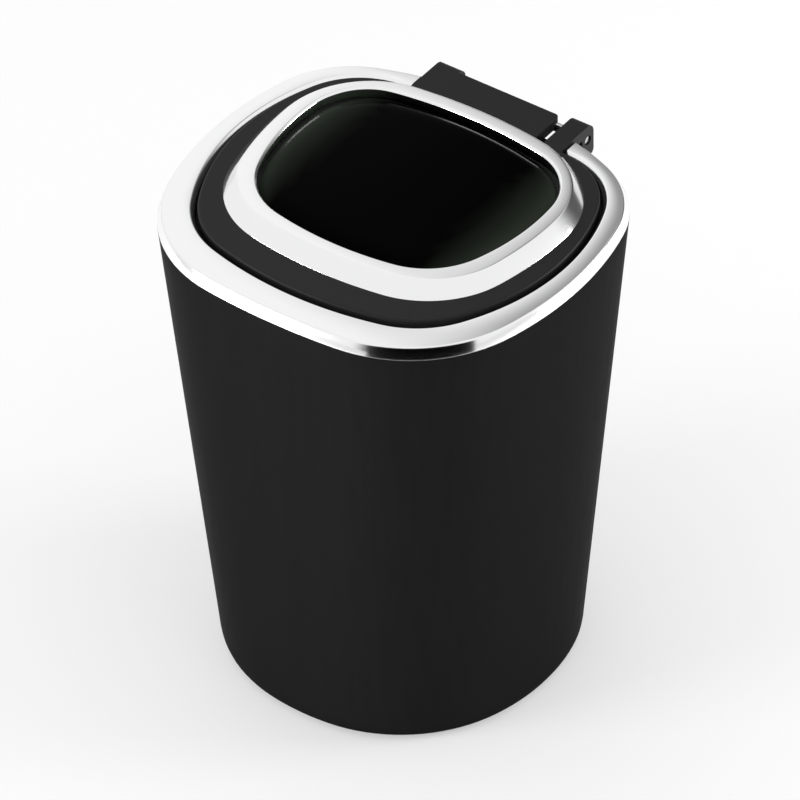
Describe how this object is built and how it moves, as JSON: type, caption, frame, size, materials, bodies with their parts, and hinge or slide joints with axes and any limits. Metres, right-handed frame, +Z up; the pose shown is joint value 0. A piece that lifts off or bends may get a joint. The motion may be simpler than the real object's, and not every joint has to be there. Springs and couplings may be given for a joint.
{
  "type": "car ashtray",
  "caption": "Tapered rounded-square car ashtray with a plated rim, a lift-out steel liner and a sprung hinged lid that has a glossy window and a lamp inside.",
  "frame": {"origin": "middle of the foot, on the surface it stands on", "axes": "+Z up, +Y to the hinge side, +X to the right as seen from the front"},
  "size_m": [0.0806, 0.0769, 0.1037],
  "materials": {
    "soft_black": "fine matte moulded black",
    "pad_rubber": "ribbed black rubber",
    "chrome_trim": "plated, satin-bright",
    "inner_black": "moulded black",
    "drawn_steel": "drawn and brushed",
    "heat_black": "heat-proof moulding",
    "pin_steel": "ground",
    "spring_steel": "drawn wire",
    "lid_grey": "fine matte charcoal",
    "window_black": "polished black",
    "cell_blue": "dark blue cell",
    "contact_brass": "plain",
    "board_green": "solder-masked board",
    "cell_steel": "plain",
    "led_clear": "clear",
    "pearl_white": "translucent white",
    "cover_grey": "satin moulding",
    "screw_steel": "zinc plated",
    "seal_rubber": "soft black"
  },
  "bodies": {
    "cup": {"outer_shell": "soft_black", "base_pad": "pad_rubber", "rim_ring": "chrome_trim", "collar": "inner_black", "liner": "drawn_steel", "rest_plate": "heat_black", "hinge_pin": "pin_steel", "hinge_spring": "spring_steel"},
    "lid": {"lid_base": "lid_grey", "lid_ring": "chrome_trim", "window_lens": "window_black", "solar_cell": "cell_blue", "solar_contacts": "contact_brass", "light_board": "board_green", "coin_cell": "cell_steel", "light_led": "led_clear", "tilt_switch": "cell_steel", "light_diffuser": "pearl_white", "lid_inner_cover": "cover_grey", "cover_screws": "screw_steel", "lid_seal": "seal_rubber"}
  },
  "joints": [
    {"name": "lid_hinge", "type": "hinge", "parent": "cup", "child": "lid", "pos_m": [0, 0.0382, 0.0978], "axis": [-1, 0, 0], "range_deg": [0, 100]}
  ]
}
